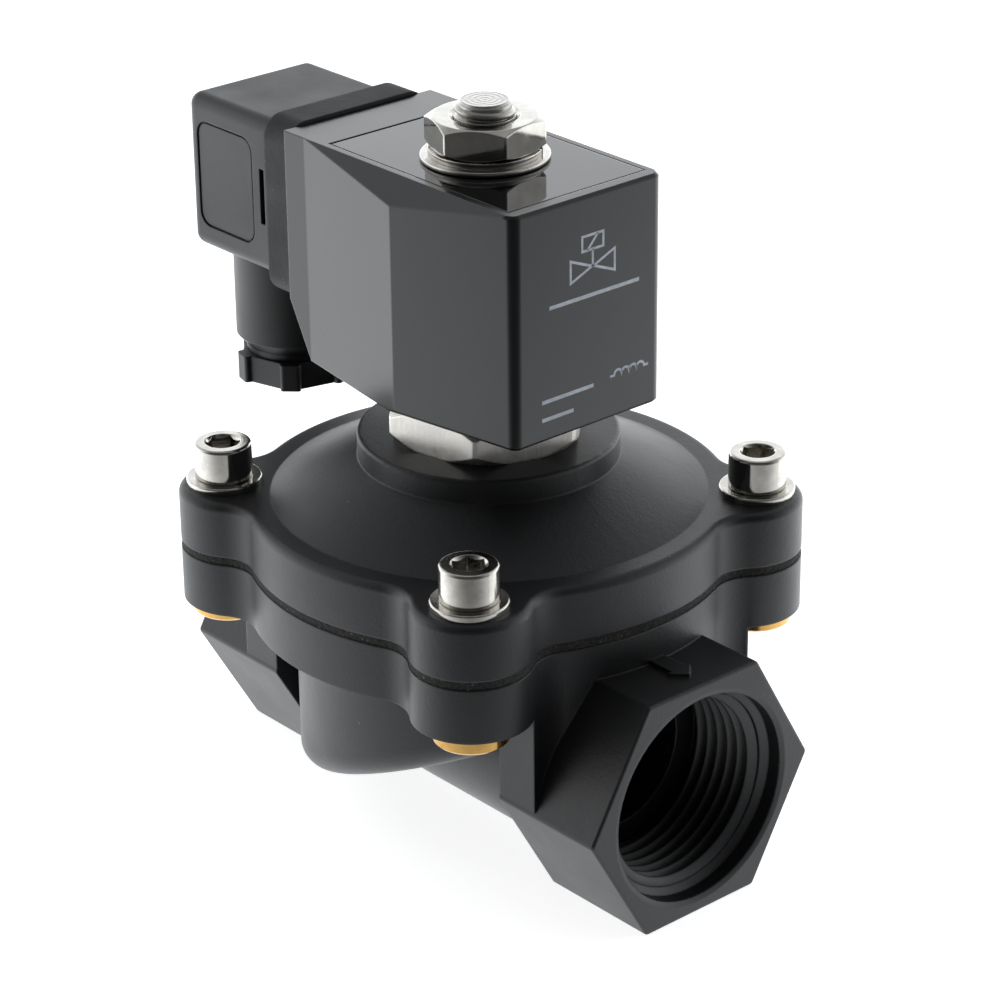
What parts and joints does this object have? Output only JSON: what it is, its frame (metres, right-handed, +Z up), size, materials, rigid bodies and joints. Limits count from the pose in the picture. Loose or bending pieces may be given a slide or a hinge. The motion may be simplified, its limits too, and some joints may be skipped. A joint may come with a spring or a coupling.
{
  "type": "solenoid valve",
  "caption": "Pilot-operated solenoid valve: hex-ported body, bolted diaphragm cover, armature guide, moulded coil held by a nut, and a square-flanged plug with cable gland.",
  "frame": {"origin": "where the centre line of the two pipe ports crosses the armature axis", "axes": "+X along the pipe, out of the outlet port; +Z up the armature axis to the coil nut; +Y completes the right-handed frame"},
  "size_m": [0.1132, 0.0802, 0.1243],
  "materials": {
    "valve_moulding": "fine-grained glass-filled moulding",
    "diaphragm_rubber": "cloth-reinforced rubber, rough cut edge",
    "seal_rubber": "smooth nitrile",
    "gasket_rubber": "rough moulded rubber",
    "pressed_steel": "stamped stainless",
    "insert_brass": "turned brass",
    "screw_steel": "bright stainless",
    "guide_nickel": "turned and milled, satin",
    "tube_steel": "drawn stainless",
    "magnetic_steel": "ground ferritic stainless",
    "copper": "bare copper",
    "spring_steel": "drawn wire",
    "coil_moulding": "smooth epoxy moulding, satin",
    "yoke_lacquer": "gloss black lacquer",
    "bobbin_nylon": "natural nylon",
    "tape": "polyester tape",
    "blade_tin": "tinned brass",
    "nut_nickel": "nickel plated",
    "plug_moulding": "fine-textured polyamide"
  },
  "bodies": {
    "valve": {"body": "valve_moulding", "cover": "valve_moulding", "diaphragm_rim": "diaphragm_rubber", "diaphragm_web": "diaphragm_rubber", "diaphragm_spring": "spring_steel", "threaded_inserts": "insert_brass", "cap_screws": "screw_steel", "screw_washers": "screw_steel", "guide_hex": "guide_nickel", "guide_seal": "seal_rubber", "armature_tube": "tube_steel", "fixed_core": "magnetic_steel", "shading_ring": "copper", "plunger_spring": "spring_steel", "coil_seat_washer": "seal_rubber", "coil_washer": "nut_nickel", "lock_washer": "nut_nickel", "coil_nut": "nut_nickel"},
    "diaphragm_centre": {"diaphragm_pad": "diaphragm_rubber", "diaphragm_plate": "pressed_steel", "pilot_nozzle": "insert_brass", "pilot_nut": "pressed_steel"},
    "plunger_group": {"plunger": "magnetic_steel", "plunger_seal": "seal_rubber"},
    "coil": {"coil_jacket": "coil_moulding", "yoke": "yoke_lacquer", "bobbin": "bobbin_nylon", "winding": "copper", "winding_tape": "tape", "supply_blades": "blade_tin", "earth_blade": "blade_tin", "plug_insert": "insert_brass", "plug_gasket": "gasket_rubber"},
    "plug": {"plug_housing": "plug_moulding", "terminal_block": "plug_moulding", "terminal_screws": "blade_tin", "plug_screw": "blade_tin", "plug_screw_seal": "seal_rubber", "gland_nut": "plug_moulding", "gland_washer": "pressed_steel", "gland_seal": "seal_rubber"}
  },
  "joints": [
    {"name": "plunger_lift", "type": "slide", "parent": "valve", "child": "plunger_group", "axis": [0, 0, 1], "range_m": [0, 0.008], "stiffness_N_per_m": 120, "springref_m": -0.012, "deforming": ["plunger_spring"]},
    {"name": "diaphragm_lift", "type": "slide", "parent": "valve", "child": "diaphragm_centre", "axis": [0, 0, 1], "range_m": [0, 0.006], "stiffness_N_per_m": 200, "springref_m": -0.008, "deforming": ["diaphragm_spring", "diaphragm_web"]},
    {"name": "coil_swivel", "type": "hinge", "parent": "valve", "child": "coil", "pos_m": [0, 0, 0.075], "axis": [0, 0, 1], "range_deg": [-25, 25]},
    {"name": "plug_pull", "type": "slide", "parent": "coil", "child": "plug", "axis": [-1, 0, 0], "range_m": [0, 0.015]}
  ],
  "couplings": [
    {"joint": "diaphragm_lift", "follows": "plunger_lift", "ratio": 0.75}
  ]
}
